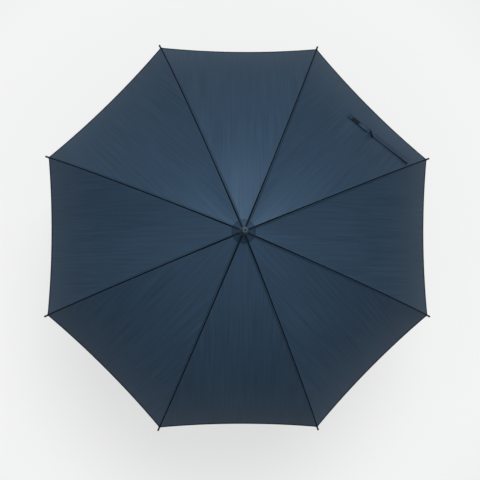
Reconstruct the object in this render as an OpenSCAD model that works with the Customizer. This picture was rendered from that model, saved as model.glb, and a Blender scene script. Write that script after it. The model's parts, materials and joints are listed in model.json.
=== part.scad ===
// Stick umbrella, open, with a folding steel and fibreglass frame.
// +Z runs up the shaft, and the origin is in the middle of the handle's straight grip.
// Each rib, rod and stretcher moves in its own upright plane through the shaft.

/* [Frame] */
// Length of an arm: crown pivot to rib joint, and rib joint to runner pivot
arm_l = 280; // [230:1:340]
// Straight length of the outer rod's curved stretch
rod_l = 279; // [230:1:340]
// How far each arm slopes below level when open, in degrees
arm_slope = 19.4; // [15:0.2:24]
// How much the inner rib bends along its length, in degrees
rib_bend = 16; // [8:0.5:20]
// How much the outer rod bends along its length, in degrees
rod_bend = 21.2; // [12:0.2:26]
// Angle between an arm and the shaft when closed, in degrees
closed_angle = 2; // [1:0.5:5]
// Width of a channel section
channel_w = 3.2; // [2.8:0.1:3.4]
// Height of a channel section
channel_h = 2.6; // [2.2:0.1:3.2]
// Sheet thickness of a channel section
channel_wall = 0.5; // [0.3:0.05:0.7]
// Diameter of the fibreglass rod
rod_d = 3; // [2.4:0.1:3.4]

/* [Shaft] */
// Outer diameter of the tubular shaft
shaft_d = 10; // [9:0.1:12]
// Wall of the tubular shaft
shaft_wall = 0.8; // [0.5:0.05:1]
// How far the shaft runs into the handle
shaft_socket = 45; // [25:1:70]
// How far the shaft stands above the crown pivots
shaft_top = 25; // [15:1:40]

/* [Crown and runner] */
// Radius of the ring wire that the ribs or the stretchers hang on
pivot_r = 12; // [11:0.1:14]
// Diameter of the ring wires
wire_d = 1.2; // [0.8:0.1:1.4]
// How far a notched ring reaches beyond its ring wire
ring_rim = 3.5; // [3:0.1:6]
// Height of a notched ring below its pivots
ring_drop = 7; // [5:0.5:10]
// Length of the runner's sleeve below its pivots
sleeve_l = 34; // [32:1:50]
// Outer diameter of the runner's sleeve
sleeve_d = 16; // [15:0.5:19]

/* [Handle] */
// Length of the straight grip
grip_l = 100; // [80:1:140]
// Diameter of the handle
handle_d = 21; // [18:0.5:26]
// Radius of the crook's centre line
crook_r = 36; // [30:1:48]
// Length of the crook's straight end
crook_end = 14; // [6:1:30]
// Height of the collar on top of the handle
collar_h = 12; // [8:1:20]

/* [Ferrule and tips] */
// Diameter of the ferrule's straight upper part
ferrule_d = 14.5; // [12:0.5:16]
// Height of the ferrule
ferrule_h = 66; // [40:1:90]
// Diameter of the ferrule's foot
ferrule_foot_d = 20; // [18:0.5:24]
// Length of a rib tip
tip_l = 24; // [20:1:32]
// Diameter of a rib tip's ball
tip_d = 5; // [4.6:0.1:6]

/* [Canopy] */
// Thickness of the canopy's cloth as a solid
cloth_t = 0.8; // [0.5:0.1:1.2]
// Gap between the frame's thickest hinge or tip and the cloth's underside
cloth_gap = 0.6; // [0.5:0.1:2]
// How far the cloth dips between two ribs at the hem
gore_dip = 10; // [4:0.5:16]
// How far the cloth's corner lies beyond the rod's bend
hem_reach = 4.4; // [2:0.2:8]
// Radius of the round patch on top
rosette_r = 29; // [20:0.5:34]
// Length of the closing strap
strap_l = 190; // [140:1:210]
// Width of the closing strap
strap_w = 12; // [8:0.5:16]
// Distance of the strap's sewn end inside the canopy's corners
strap_inset = 53.2; // [30:0.1:70]
// Azimuth of the strap's sewn end, in degrees
strap_azimuth = 24.1; // [24:0.1:26]

/* [Hidden] */
rib_count = 8;
gore_angle = 360 / rib_count;
first_rib = gore_angle / 2;
RIBS = [for (k = [1:rib_count]) str(k)];

// Clearances on a radius: of the runner, of a pin that turns, and of a pin or wire that is held
running = 0.06;
pin_fit = 0.05;
held_fit = 0.02;
wire_fit = 0.12;
// Gap between pieces that must not touch
gap = 0.4;
// Segments of a round form, and of the long shallow bends
round_fn = 48;
bend_fn = 720;

// Fold of an arm from open to closed
open_angle = 90 - arm_slope;
fold_angle = open_angle - closed_angle;

// Heights along the shaft, upwards from the grip
handle_top = grip_l / 2;
collar_top = handle_top + collar_h;
runner_room = 10;
runner_closed = collar_top + runner_room + sleeve_l;
crown_z = runner_closed + 2 * arm_l * cos(closed_angle);
runner_open = crown_z - 2 * arm_l * cos(open_angle);

// Pivots as [radius, height]
crown_pivot = [pivot_r, crown_z];
joint_pivot = crown_pivot + arm_l * [sin(open_angle), -cos(open_angle)];
runner_pivot = [pivot_r, runner_open];

// Slopes below level: of the rib at its root, at the joint, and of the rod at its end
root_slope = arm_slope - rib_bend / 2;
joint_slope = arm_slope + rib_bend / 2;
end_slope = joint_slope + rod_bend;
rod_slope = joint_slope + rod_bend / 2;
rib_bend_r = arm_l / (2 * sin(rib_bend / 2));
rod_bend_r = rod_l / (2 * sin(rod_bend / 2));
rod_end = joint_pivot + rod_l * [cos(rod_slope), -sin(rod_slope)];
rib_centre = crown_pivot - rib_bend_r * [sin(root_slope), cos(root_slope)];
rod_centre = joint_pivot - rod_bend_r * [sin(joint_slope), cos(joint_slope)];

// Eyes on the ring wires: a tongue fills the channel behind each eye, and the channel laps over it
eye_r = 2.2;
eye_w = channel_w - 2 * channel_wall;
ring_r = pivot_r + ring_rim;
tongue_l = ring_drop + 7;
tongue_h = channel_h - 0.2;
tongue_lap = 4;
slot_w = eye_w + 2 * gap;
slot_r = pivot_r - eye_r - 0.3;
slot_drop = eye_r + 1.2;
ring_top = 1.6;

// Rib joint: the rod's eye between the rib's cheeks, and the stretcher's ears outside them
joint_pin_r = 1;
joint_eye_r = 2.4;
cheek_in = channel_w / 2 - 0.2;
cheek_out = cheek_in + 0.8;
rod_eye_w = 2 * cheek_in - 0.4;
cheek_r = 2.6;
cheek_h = channel_h + 0.6;
cheek_l = 20;
cheek_lap = 8;
rod_flat_l = 8;
rod_flat_h = rod_d - 0.6;
ear_in = cheek_out + 0.2;
ear_out = ear_in + 0.8;
ear_l = 20;
ear_h = channel_h + 0.4;
ear_lap = 6;
web_l = 6;
pin_head_in = ear_out + 0.2;
pin_head_out = pin_head_in + 0.6;
pin_head_r = 1.7;

// Rib tip and the rod's stub inside it
rod_stub = 12;
stub_d = rod_d - 0.4;
tip_mouth_r = tip_d / 2 + 0.3;
tip_neck_r = tip_d / 2 - 0.35;
tip_foot = 0.2;
tip_socket_l = 5;
tip_neck_z = tip_foot + tip_socket_l + 2.5;

// Catches: heights are measured down from the nose's flat top, which swings up a little when pressed
catch_w = 2;
catch_swing = 1;
catch_nose = 2.6;
catch_front = 0.8;
catch_ramp = 8;
catch_waist = 1.2;
catch_drop = 26;
catch_pin_x = -1;
catch_pin_r = 0.7;
catch_eye_r = 2;
catch_slot = [2.6, 15];
window_drop = [sleeve_l - 14, sleeve_l - 4];
window_w = 4;
window_room = 3.3;
top_catch_z = runner_open - sleeve_l - catch_swing;
bottom_catch_z = runner_closed - window_drop[0] - window_room;

// Pins through the shaft: one holds the crown, and one stops the runner
crown_pin_r = 0.9;
crown_pin_drop = -4.5;
stop_pin_r = 1;
stop_z = runner_open + ring_top + stop_pin_r + 0.4;

// Crook, cloth and ferrule
crook_tip = -grip_l / 2 + crook_end;
end_cap_h = 4;
cloth_rise = max(cheek_r, tip_mouth_r) + cloth_gap;
seat_rise = cloth_rise + cloth_t + gap;
rosette_t = 0.7;
ferrule_z = crown_z + seat_rise + rosette_t + 0.1;

// Places a piece drawn in the XZ plane in the plane of rib k
module at_rib(k) {
    rotate([0, 0, first_rib + (k - 1) * gore_angle]) children();
}

// Bends a section (x away from the bend's centre, y across) from slope s0 to slope s1
module bent_bar(centre, bend_r, s0, s1) {
    translate([centre[0], 0, centre[1]])
        rotate([90, s1 - 90, 0])
            rotate_extrude(angle = s1 - s0, $fn = bend_fn)
                translate([bend_r, 0])
                    children();
}

// A cylinder across the rib's plane, centred on it, at p = [radius, height]
module across(p, r, w) {
    translate([p[0], w / 2, p[1]])
        rotate([90, 0, 0])
            cylinder(r = r, h = w, $fn = round_fn);
}

// Section of two flat plates of height h, mirrored about the rib's plane
module both_sides(inner, outer, h) {
    translate([0, (inner + outer) / 2]) square([h, outer - inner], center = true);
    translate([0, -(inner + outer) / 2]) square([h, outer - inner], center = true);
}

// U-shaped section, open towards the bend's centre
module channel_section() {
    inside = channel_w - 2 * channel_wall;
    difference() {
        square([channel_h, channel_w], center = true);
        translate([-channel_wall, 0]) square([channel_h, inside], center = true);
    }
}

// Angle that a length takes along a bend
function turn(length, bend_r) = length / bend_r * 180 / PI;

// Inner rib: tongue with an eye on the crown wire, channel, two cheeks and the joint pin
module rib() {
    color("#1c1d1f") difference() {
        union() {
            across(crown_pivot, eye_r, eye_w);
            bent_bar(rib_centre, rib_bend_r, root_slope, root_slope + turn(tongue_l, rib_bend_r))
                square([tongue_h, eye_w], center = true);
            bent_bar(rib_centre, rib_bend_r, root_slope + turn(tongue_l - tongue_lap, rib_bend_r),
                     joint_slope - turn(cheek_l - cheek_lap, rib_bend_r))
                channel_section();
            bent_bar(rib_centre, rib_bend_r, joint_slope - turn(cheek_l, rib_bend_r), joint_slope)
                both_sides(cheek_in, cheek_out, cheek_h);
            cheek_discs();
            across(joint_pivot, joint_pin_r, 2 * pin_head_out);
            pin_heads();
        }
        across(crown_pivot, wire_d / 2 + wire_fit, 3 * eye_w);
    }
}

// Round ends of the rib's two cheeks
module cheek_discs() {
    difference() {
        across(joint_pivot, cheek_r, 2 * cheek_out);
        across(joint_pivot, cheek_r + 1, 2 * cheek_in);
    }
}

// Flat heads of the joint pin
module pin_heads() {
    difference() {
        across(joint_pivot, pin_head_r, 2 * pin_head_out);
        across(joint_pivot, pin_head_r + 1, 2 * pin_head_in);
    }
}

// Outer rod: flat eye at the joint, round bent rod, and a straight stub for the tip
module rod() {
    color("#17181a") difference() {
        union() {
            across(joint_pivot, joint_eye_r, rod_eye_w);
            bent_bar(rod_centre, rod_bend_r, joint_slope, joint_slope + turn(rod_flat_l, rod_bend_r))
                square([rod_flat_h, rod_eye_w], center = true);
            bent_bar(rod_centre, rod_bend_r, joint_slope + turn(rod_flat_l - 3, rod_bend_r), end_slope)
                circle(d = rod_d, $fn = 24);
            along_tip() translate([0, 0, -2]) cylinder(d = stub_d, h = rod_stub + 2, $fn = 24);
        }
        across(joint_pivot, joint_pin_r + pin_fit, 3 * rod_eye_w);
    }
}

// Stands a piece drawn up +Z on the end of the rod, along its last direction
module along_tip() {
    translate([rod_end[0], 0, rod_end[1]])
        rotate([0, 90 + end_slope, 0])
            children();
}

// Rib tip: socket on the rod, a narrow neck and a ball
module tip() {
    ball_r = tip_d / 2;
    color("#101113") along_tip() difference() {
        union() {
            translate([0, 0, tip_foot]) cylinder(r = tip_mouth_r, h = tip_socket_l, $fn = round_fn);
            translate([0, 0, tip_foot + tip_socket_l])
                cylinder(r1 = tip_mouth_r, r2 = tip_neck_r, h = 2.5, $fn = round_fn);
            translate([0, 0, tip_neck_z])
                cylinder(r = tip_neck_r, h = tip_l - ball_r - tip_neck_z, $fn = round_fn);
            translate([0, 0, tip_l - ball_r]) sphere(r = ball_r, $fn = round_fn);
        }
        cylinder(r = stub_d / 2 + pin_fit, h = rod_stub + 1, $fn = round_fn);
    }
}

// Stretcher: eye on the runner wire, channel, and a fork that straddles the rib joint
module stretcher() {
    color("#232427") translate([runner_pivot[0], 0, runner_pivot[1]])
        rotate([0, open_angle, 0]) difference() {
            union() {
                across([0, 0], eye_r, eye_w);
                translate([0, 0, tongue_l / 2]) cube([tongue_h, eye_w, tongue_l], center = true);
                translate([0, 0, tongue_l - tongue_lap])
                    linear_extrude(arm_l - ear_l - tongue_l + ear_lap) channel_section();
                translate([0, 0, arm_l - ear_l + web_l / 2 - 1])
                    cube([channel_h, 2 * ear_out, web_l], center = true);
                translate([0, 0, arm_l - ear_l]) linear_extrude(ear_l) both_sides(ear_in, ear_out, ear_h);
                difference() {
                    across([0, arm_l], joint_eye_r, 2 * ear_out);
                    across([0, arm_l], joint_eye_r + 1, 2 * ear_in);
                }
            }
            across([0, 0], wire_d / 2 + wire_fit, 3 * eye_w);
            across([0, arm_l], joint_pin_r + pin_fit, 3 * ear_out);
        }
}

// Notches of a ring, open outwards, from height low to height high
module notches(low, high) {
    for (k = [1:rib_count])
        at_rib(k)
            translate([slot_r, -slot_w / 2, low]) cube([ring_r, slot_w, high - low]);
}

// Ring of wire, or its tunnel, round the shaft's axis
module wire_ring(r) {
    rotate_extrude($fn = 2 * round_fn) translate([pivot_r, 0]) circle(r = r, $fn = 24);
}

// Crown: notched ring fixed to the shaft, which the ribs hang on
module crown() {
    color("#141517") translate([0, 0, crown_z]) difference() {
        translate([0, 0, -ring_drop]) cylinder(r = ring_r, h = ring_drop + ring_top, $fn = 96);
        translate([0, 0, -2 * ring_drop]) shaft_hole(4 * ring_drop, pin_fit);
        notches(-2 * ring_drop, ring_drop);
        wire_ring(wire_d / 2 + held_fit);
        translate([0, 0, crown_pin_drop]) across_shaft(crown_pin_r + held_fit, 2 * ring_r);
    }
}

// A hole or bore on the shaft's axis, with a fit on its radius
module shaft_hole(h, fit) {
    cylinder(r = shaft_d / 2 + fit, h = h, $fn = 96);
}

// A cylinder along Y through the shaft's axis
module across_shaft(r, l) {
    translate([0, l / 2, 0]) rotate([90, 0, 0]) cylinder(r = r, h = l, $fn = 24);
}

module crown_pin() {
    color("silver") translate([0, 0, crown_z + crown_pin_drop])
        across_shaft(crown_pin_r, 2 * slot_r - 1);
}

module crown_wire() {
    color("silver") translate([0, 0, crown_z]) wire_ring(wire_d / 2);
}

// Runner: notched ring, sleeve with a window for the lower catch, and a lip for the thumb
module runner() {
    lip_h = 3;
    lip_d = sleeve_d + 3;
    color("#141517") translate([0, 0, runner_open]) difference() {
        union() {
            translate([0, 0, -ring_drop]) cylinder(r = ring_r, h = ring_drop + ring_top, $fn = 96);
            translate([0, 0, -sleeve_l]) cylinder(d = sleeve_d, h = sleeve_l, $fn = 96);
            translate([0, 0, -sleeve_l]) cylinder(d = lip_d, h = lip_h, $fn = 96);
            translate([0, 0, -ring_drop - 4])
                cylinder(d1 = sleeve_d, d2 = 2 * ring_r, h = 4, $fn = 96);
        }
        translate([0, 0, -2 * sleeve_l]) shaft_hole(4 * sleeve_l, running);
        notches(-slot_drop, ring_drop);
        wire_ring(wire_d / 2 + held_fit);
        translate([0, -window_w / 2, -window_drop[1]])
            cube([sleeve_d, window_w, window_drop[1] - window_drop[0]]);
    }
}

module runner_wire() {
    color("silver") translate([0, 0, runner_open]) wire_ring(wire_d / 2);
}

// Slot in the shaft's wall for a catch whose nose has its top at z
module catch_opening(z) {
    translate([0, -catch_slot[0] / 2, z - catch_slot[1]])
        cube([shaft_d, catch_slot[0], catch_slot[1] + 1]);
    translate([catch_pin_x, 0, z - catch_drop]) across_shaft(catch_pin_r + held_fit, 2 * shaft_d);
}

// Tubular shaft with slots for the catches and holes for the pins
module shaft() {
    foot = handle_top - shaft_socket;
    head = crown_z + shaft_top;
    color("#8d9298") difference() {
        translate([0, 0, foot]) cylinder(d = shaft_d, h = head - foot, $fn = 96);
        translate([0, 0, foot - 1])
            cylinder(d = shaft_d - 2 * shaft_wall, h = head - foot + 2, $fn = 96);
        catch_opening(top_catch_z);
        catch_opening(bottom_catch_z);
        translate([0, 0, stop_z]) across_shaft(stop_pin_r + held_fit, 2 * shaft_d);
        translate([0, 0, crown_z + crown_pin_drop])
            across_shaft(crown_pin_r + held_fit, 2 * shaft_d);
    }
}

// Pin that stops the runner when the umbrella is open
module stop_pin() {
    color("silver") translate([0, 0, stop_z]) across_shaft(stop_pin_r, shaft_d + 3);
}

module catch_pins() {
    color("silver") for (z = [top_catch_z, bottom_catch_z])
        translate([catch_pin_x, 0, z - catch_drop])
            across_shaft(catch_pin_r, shaft_d - 0.6);
}

// Sprung catch: a bar on a pin inside the shaft, with a nose through the wall
module catch_bar(z) {
    nose_x = shaft_d / 2 + catch_nose;
    inner = shaft_d / 2 - shaft_wall;
    eye = [catch_pin_x, z - catch_drop];
    color("#b9bdc2") difference() {
        union() {
            translate([0, catch_w / 2, z]) rotate([90, 0, 0]) linear_extrude(catch_w) polygon([
                [0.6, 0],
                [nose_x, 0],
                [nose_x, -catch_front],
                [inner - 0.6, -catch_ramp],
                [catch_pin_x + catch_waist, 0.5 - catch_drop],
                [catch_pin_x - catch_waist, 0.5 - catch_drop],
                [0, -4]
            ]);
            across(eye, catch_eye_r, catch_w);
        }
        across(eye, catch_pin_r + pin_fit, 3 * catch_w);
    }
}

// Ferrule: foot, taper and straight spike, with a blind hole in its end
module ferrule() {
    taper_h = 16;
    foot_h = 3;
    hole_r = 1.7;
    hole_l = 8;
    edge = 1.2;
    top_r = ferrule_d / 2;
    color("#1b222b") translate([0, 0, ferrule_z]) difference() {
        rotate_extrude($fn = 96) polygon([
            [0, 0],
            [ferrule_foot_d / 2, 0],
            [ferrule_foot_d / 2, foot_h - 1],
            [ferrule_foot_d / 2 - 1, foot_h],
            [top_r, taper_h],
            [top_r, ferrule_h - edge],
            [top_r - edge, ferrule_h],
            [0, ferrule_h]
        ]);
        translate([0, 0, -1]) shaft_hole(crown_z + shaft_top + 2 - ferrule_z, pin_fit);
        translate([0, 0, ferrule_h - hole_l]) cylinder(r = hole_r, h = hole_l + 1, $fn = round_fn);
    }
}

// Round patch over the canopy's middle, sloping with the ribs
module rosette_top() {
    z = seat_rise;
    fall = (rosette_r - pivot_r) * tan(root_slope);
    hole = shaft_d / 2 + gap;
    color("#2b3d50") translate([0, 0, crown_z]) rotate_extrude($fn = 96) polygon([
        [hole, z],
        [pivot_r, z],
        [rosette_r, z - fall],
        [rosette_r, z - fall + rosette_t],
        [pivot_r, z + rosette_t],
        [hole, z + rosette_t]
    ]);
}

// Fabric washer between the crown and the canopy
module rosette_under() {
    color("#1d2a38") translate([0, 0, crown_z + ring_top + 0.1]) difference() {
        cylinder(r = pivot_r - 1.5, h = 0.6, $fn = 96);
        translate([0, 0, -1]) shaft_hole(3, gap);
    }
}

// Crook handle with a blind bore for the shaft
module handle() {
    color("#1a1a1c") difference() {
        union() {
            translate([0, 0, -grip_l / 2]) cylinder(d = handle_d, h = grip_l, $fn = 96);
            translate([crook_r, 0, -grip_l / 2]) rotate([90, 0, 0])
                rotate([0, 0, 180]) rotate_extrude(angle = 180, $fn = 96)
                    translate([crook_r, 0]) circle(d = handle_d, $fn = 64);
            translate([2 * crook_r, 0, -grip_l / 2]) cylinder(d = handle_d, h = crook_end, $fn = 96);
        }
        translate([0, 0, handle_top - shaft_socket - 2]) shaft_hole(shaft_socket + 10, pin_fit);
    }
}

// Metal collar between the handle and the shaft
module handle_collar() {
    base_r = handle_d / 2 + 0.6;
    top_r = shaft_d / 2 + 3;
    cone_h = 5;
    color("silver") translate([0, 0, handle_top]) difference() {
        union() {
            cylinder(r = base_r, h = collar_h - cone_h, $fn = 96);
            translate([0, 0, collar_h - cone_h]) cylinder(r1 = base_r, r2 = top_r, h = cone_h, $fn = 96);
        }
        translate([0, 0, -1]) shaft_hole(collar_h + 2, pin_fit);
    }
}

// Plug on the crook's end
module handle_end_cap() {
    bevel_h = 1.5;
    color("silver") translate([2 * crook_r, 0, crook_tip]) {
        cylinder(d = handle_d, h = end_cap_h - bevel_h, $fn = 96);
        translate([0, 0, end_cap_h - bevel_h])
            cylinder(d1 = handle_d, d2 = handle_d - 4, h = bevel_h, $fn = 96);
    }
}

// Point [radius, height] over the rib's line where the slope is s, raised by off
function line_point(s, off) =
    s <= joint_slope
        ? rib_centre + (rib_bend_r + off) * [sin(s), cos(s)]
        : rod_centre + (rod_bend_r + off) * [sin(s), cos(s)];
hem_point = rod_end + hem_reach * [cos(end_slope), -sin(end_slope)];
function hem_line(off) = hem_point + off * [sin(end_slope), cos(end_slope)];

// Slopes at which the canopy has a row of points, and how much of the hem's dip each row has
rib_rows = 4;
rod_rows = 5;
ROWS = concat(
    [for (i = [0:rib_rows - 1]) root_slope + i * rib_bend / rib_rows],
    [for (i = [0:rod_rows]) joint_slope + i * rod_bend / rod_rows]
);
function dip_share(i) = 1 - pow(1 - i / len(ROWS), 2);
function row_line(i, off) = i < len(ROWS) ? line_point(ROWS[i], off) : hem_line(off);
function row_slope(i) = i < len(ROWS) ? ROWS[i] : end_slope;

// Point of the cloth in row i on one side (1 or -1) of the rib's seam, v from 0 at the seam
// to 1 at the gore's middle; each half stops short of both by the seam's gap
half_gore_cells = 4;
seam_gap = 0.2;
function cloth_point(i, side, v, off) =
    let (
        p = row_line(i, off),
        s = row_slope(i),
        w = v / 2,
        m = side * gore_angle / 2,
        dip = gore_dip * dip_share(i) * (1 - pow(1 - v, 2)),
        edge = seam_gap * side * v,
        seam = seam_gap / 2 * side * (1 - v)
    )
    [
        p[0] * (1 - w + w * cos(gore_angle)) - dip * sin(s) * cos(m) + edge * sin(m),
        p[0] * w * sin(side * gore_angle) - dip * sin(s) * sin(m) - edge * cos(m) + seam,
        p[1] - dip * cos(s)
    ];
function cloth_columns(side) = side > 0 ? [0:half_gore_cells] : [-half_gore_cells:0];
function cloth_grid(side, off) = [
    for (i = [0:len(ROWS)])
        [for (j = cloth_columns(side)) cloth_point(i, side, abs(j) / half_gore_cells, off)]
];

// A thin closed solid between two grids of points, rows outwards and columns leftwards
module sheet_solid(top, bottom) {
    rows = len(top) - 1;
    cols = len(top[0]) - 1;
    shift = (rows + 1) * (cols + 1);
    points = concat([for (r = top) each r], [for (r = bottom) each r]);
    function at(i, j) = i * (cols + 1) + j;
    function two(a, b, c, d) = [[a, b, c], [a, c, d]];
    faces = [
        for (i = [0:rows - 1], j = [0:cols - 1])
            each two(at(i, j), at(i, j + 1), at(i + 1, j + 1), at(i + 1, j)),
        for (i = [0:rows - 1], j = [0:cols - 1])
            each two(shift + at(i, j), shift + at(i + 1, j),
                     shift + at(i + 1, j + 1), shift + at(i, j + 1)),
        for (j = [0:cols - 1])
            each two(at(0, j + 1), at(0, j), shift + at(0, j), shift + at(0, j + 1)),
        for (j = [0:cols - 1])
            each two(at(rows, j), at(rows, j + 1), shift + at(rows, j + 1), shift + at(rows, j)),
        for (i = [0:rows - 1])
            each two(at(i, 0), at(i + 1, 0), shift + at(i + 1, 0), shift + at(i, 0)),
        for (i = [0:rows - 1])
            each two(at(i + 1, cols), at(i, cols), shift + at(i, cols), shift + at(i + 1, cols))
    ];
    polyhedron(points = points, faces = faces);
}

// The two half gores that meet at a rib's seam, each as far as its gore's middle
module canopy() {
    color("#2f465c") for (side = [-1, 1])
        sheet_solid(cloth_grid(side, cloth_rise + cloth_t), cloth_grid(side, cloth_rise));
}

// Height of the cloth's top over a place [x, y] in the gore between ribs 1 and 2
strap_gore = gore_angle;
function rod_slope_at(r, off) = asin((r - rod_centre[0]) / (rod_bend_r + off));
function cloth_height(x, y, off) =
    let (
        along = x * cos(strap_gore) + y * sin(strap_gore),
        beside = y * cos(strap_gore) - x * sin(strap_gore),
        r = along / cos(gore_angle / 2),
        v = 1 - min(1, abs(beside) / (along * tan(gore_angle / 2))),
        s = rod_slope_at(r, off),
        row = rib_rows + (s - joint_slope) / rod_bend * rod_rows,
        dip = gore_dip * dip_share(min(row, len(ROWS))) * (1 - pow(1 - v, 2))
    )
    line_point(s, off)[1] - dip * (cos(s) + sin(s) * tan(s));

// Closing strap: lies on the gore between ribs 1 and 2, sewn down beside rib 1
strap_t = 1;
strap_heading = 141.9;
strap_cells = 12;
strap_lift = 1.2;
strap_foot = (hem_point[0] - strap_inset) * [cos(strap_azimuth), sin(strap_azimuth)];
strap_run = [cos(strap_heading), sin(strap_heading)];
// Share of the strap's length that shows from above, because it lies on a slope
strap_flat = 0.955;
function strap_point(l, w, up) =
    let (
        x = strap_foot[0] + l * strap_flat * strap_run[0] + w * strap_run[1],
        y = strap_foot[1] + l * strap_flat * strap_run[1] - w * strap_run[0]
    )
    [x, y, cloth_height(x, y, cloth_rise + cloth_t) + strap_lift + up];
function band(l0, l1, w, up, cells) = [
    for (i = [0:cells])
        let (l = l0 + (l1 - l0) * i / cells)
        [strap_point(l, w / 2, up), strap_point(l, -w / 2, up)]
];

module strap() {
    color("#22344a") sheet_solid(
        band(0, strap_l, strap_w, strap_t, strap_cells),
        band(0, strap_l, strap_w, 0, strap_cells)
    );
}

// Hook pad near the strap's free end
pad_l = 22;
pad_t = 1;
pad_inset = 12;
pad_margin = 1.5;
module strap_pad() {
    first = strap_l - pad_inset - pad_l;
    color("#14202c") sheet_solid(
        band(first, first + pad_l, strap_w - 2 * pad_margin, strap_t + 0.2 + pad_t, 3),
        band(first, first + pad_l, strap_w - 2 * pad_margin, strap_t + 0.2, 3)
    );
}

shaft();
stop_pin();
catch_pins();
catch_bar(top_catch_z);  // top_catch
catch_bar(bottom_catch_z);  // bottom_catch
crown();
crown_wire();
crown_pin();
runner();
runner_wire();
ferrule();
rosette_top();
rosette_under();
handle();
handle_collar();
handle_end_cap();
for (k = [1:rib_count]) {
    at_rib(k) rib();
    at_rib(k) rod();
    at_rib(k) stretcher();
    at_rib(k) tip();
    at_rib(k) canopy();
}
strap();
strap_pad();
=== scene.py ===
"""Looks of an open stick umbrella: cloth canopy, folding frame, shaft, runner, ferrule and crook handle.

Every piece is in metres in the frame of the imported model: +Z runs up the shaft, and rib 1 stands at
22.5 degrees. Pieces that belong to a rib are built in its own plane (x outwards) and then turned to it.
"""

import json
import logging
import math
from dataclasses import dataclass
from enum import Enum
from typing import Sequence

import bmesh
import bpy
from mathutils import Matrix, Vector, noise


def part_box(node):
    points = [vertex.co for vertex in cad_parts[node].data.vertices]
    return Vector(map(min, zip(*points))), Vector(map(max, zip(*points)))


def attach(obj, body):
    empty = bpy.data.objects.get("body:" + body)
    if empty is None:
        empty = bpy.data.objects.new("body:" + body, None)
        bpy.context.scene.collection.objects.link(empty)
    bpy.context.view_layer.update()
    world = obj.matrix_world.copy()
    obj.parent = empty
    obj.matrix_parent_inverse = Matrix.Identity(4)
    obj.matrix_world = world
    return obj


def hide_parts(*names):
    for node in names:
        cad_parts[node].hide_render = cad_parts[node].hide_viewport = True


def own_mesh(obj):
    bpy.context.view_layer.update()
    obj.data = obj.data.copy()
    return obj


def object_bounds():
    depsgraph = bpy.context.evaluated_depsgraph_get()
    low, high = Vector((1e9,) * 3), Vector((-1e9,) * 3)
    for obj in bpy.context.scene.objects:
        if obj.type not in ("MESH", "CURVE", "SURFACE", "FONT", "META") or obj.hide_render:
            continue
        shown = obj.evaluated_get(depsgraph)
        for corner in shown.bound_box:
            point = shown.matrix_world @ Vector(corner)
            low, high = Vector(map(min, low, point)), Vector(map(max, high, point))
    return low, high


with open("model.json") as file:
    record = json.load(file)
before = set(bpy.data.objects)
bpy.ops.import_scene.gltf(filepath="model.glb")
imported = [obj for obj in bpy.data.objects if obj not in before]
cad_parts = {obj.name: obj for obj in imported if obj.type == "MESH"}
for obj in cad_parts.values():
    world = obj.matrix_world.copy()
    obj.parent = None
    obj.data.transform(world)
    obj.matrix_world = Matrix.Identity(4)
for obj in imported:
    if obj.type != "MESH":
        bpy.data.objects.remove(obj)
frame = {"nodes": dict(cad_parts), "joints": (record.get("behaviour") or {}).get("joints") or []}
CAD_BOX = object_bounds()

log = logging.getLogger("umbrella")

MM = 0.001
RIB_COUNT = 8
GORE = 2 * math.pi / RIB_COUNT
HALF_GORE = GORE / 2
RIBS = range(1, RIB_COUNT + 1)

# Vertices closer than this are one.
SAME_PLACE = 0.001 * MM
# Bend in radians above which an edge of cloth is sharp.
CLOTH_CREASE = 0.9
# Hem length of a cloth that has no hem.
NO_HEM = 1.0

Colour = tuple[float, float, float]
Scale = tuple[float, float, float]
Pair = tuple[float, float]

# Linear colours of the finishes.
NAVY: Colour = (0.0145, 0.0295, 0.049)
JET: Colour = (0.005, 0.005, 0.0055)
SLATE: Colour = (0.021, 0.037, 0.052)
RUBBER: Colour = (0.014, 0.014, 0.0155)
ENAMEL: Colour = (0.012, 0.0125, 0.014)
RESIN: Colour = (0.014, 0.0145, 0.016)
WIRE: Colour = (0.62, 0.63, 0.65)
TUBE: Colour = (0.46, 0.47, 0.49)
SATIN: Colour = (0.66, 0.67, 0.69)

# Grain of blasted metal, in features per metre along each axis.
EVEN_GRAIN: Scale = (2200, 2200, 2200)


class Side(Enum):
    """The two sides of a rib's seam, seen along the rib from the shaft."""

    LEFT = 1
    RIGHT = -1


class Span(Enum):
    """The two stretches of a canopy half: over the inner rib and over the outer rod."""

    INNER = "inner"
    OUTER = "outer"


# ---------------------------------------------------------------- shader graph


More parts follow.
